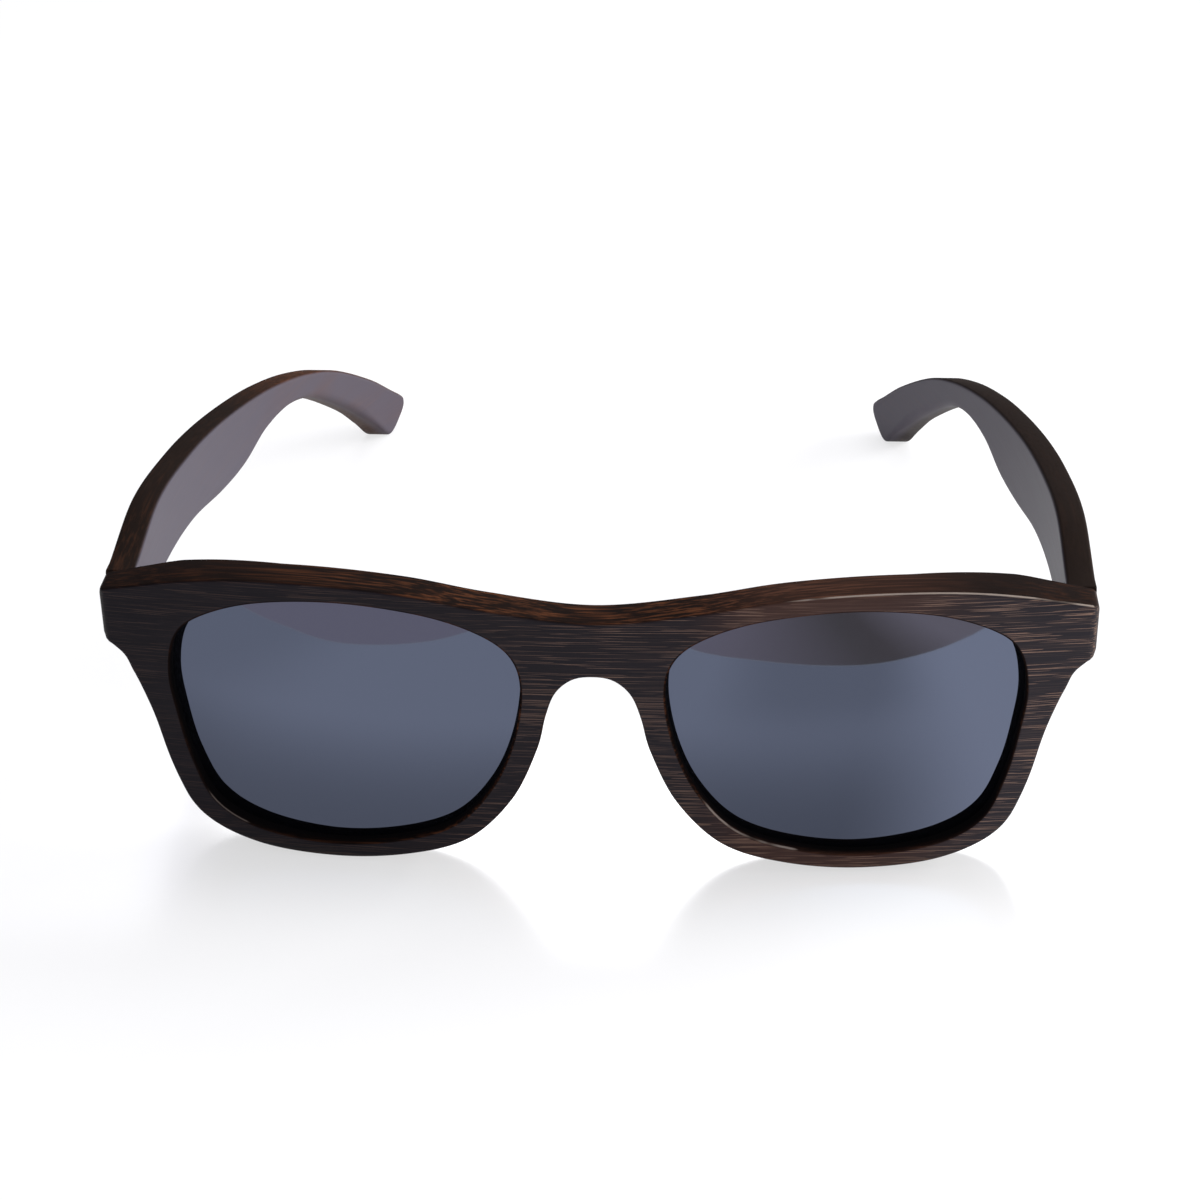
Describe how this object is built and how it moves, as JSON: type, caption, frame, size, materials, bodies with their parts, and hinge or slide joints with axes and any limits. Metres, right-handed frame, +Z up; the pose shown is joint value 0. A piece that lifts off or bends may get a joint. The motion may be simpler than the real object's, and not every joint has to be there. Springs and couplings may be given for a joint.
{
  "type": "wooden sunglasses",
  "caption": "Dark bamboo sunglasses with a slightly wrapped front, curved tinted lenses in grooves and bowed temples that fold on hidden spring hinges.",
  "frame": {"origin": "middle of the bounding box on the table, with the temples open and the rims and tips resting on the table", "axes": "+X to the wearer's left, +Y from the front back to the temple tips, +Z up"},
  "size_m": [0.1474, 0.1344, 0.0482],
  "materials": {
    "bamboo_front": "dark stained bamboo, satin, fine fibres along the front",
    "bamboo_temple": "dark stained bamboo, satin, fibres along the temple",
    "lens": "tinted grey, polished",
    "hinge_steel": "brushed",
    "screw_steel": "turned, slotted",
    "spring_steel": "drawn wire"
  },
  "bodies": {
    "front": {"front_frame": "bamboo_front", "lens_left": "lens", "lens_right": "lens", "front_hinge_left": "hinge_steel", "front_hinge_right": "hinge_steel", "front_hinge_screws_left": "screw_steel", "front_hinge_screws_right": "screw_steel", "pivot_screw_left": "screw_steel", "pivot_screw_right": "screw_steel"},
    "slider_left": {"slider_left": "hinge_steel", "spring_stop_left": "hinge_steel"},
    "temple_left": {"temple_left": "bamboo_temple", "temple_hinge_left": "hinge_steel", "temple_hinge_screws_left": "screw_steel", "spring_left": "spring_steel"},
    "slider_right": {"slider_right": "hinge_steel", "spring_stop_right": "hinge_steel"},
    "temple_right": {"temple_right": "bamboo_temple", "temple_hinge_right": "hinge_steel", "temple_hinge_screws_right": "screw_steel", "spring_right": "spring_steel"}
  },
  "joints": [
    {"name": "left_fold", "type": "hinge", "parent": "front", "child": "slider_left", "pos_m": [0.06815, -0.05204, 0.03916], "axis": [0, 0.0834, 0.9965], "range_deg": [0, 80]},
    {"name": "left_spring_slide", "type": "slide", "parent": "slider_left", "child": "temple_left", "axis": [0, 0.9965, -0.0834], "range_m": [0, 0.0015], "stiffness_N_per_m": 600, "springref_m": -0.002, "deforming": ["spring_left"]},
    {"name": "right_fold", "type": "hinge", "parent": "front", "child": "slider_right", "pos_m": [-0.06815, -0.05204, 0.03916], "axis": [0, -0.0834, -0.9965], "range_deg": [0, 72]},
    {"name": "right_spring_slide", "type": "slide", "parent": "slider_right", "child": "temple_right", "axis": [0, 0.9965, -0.0834], "range_m": [0, 0.0015], "stiffness_N_per_m": 600, "springref_m": -0.002, "deforming": ["spring_right"]}
  ]
}
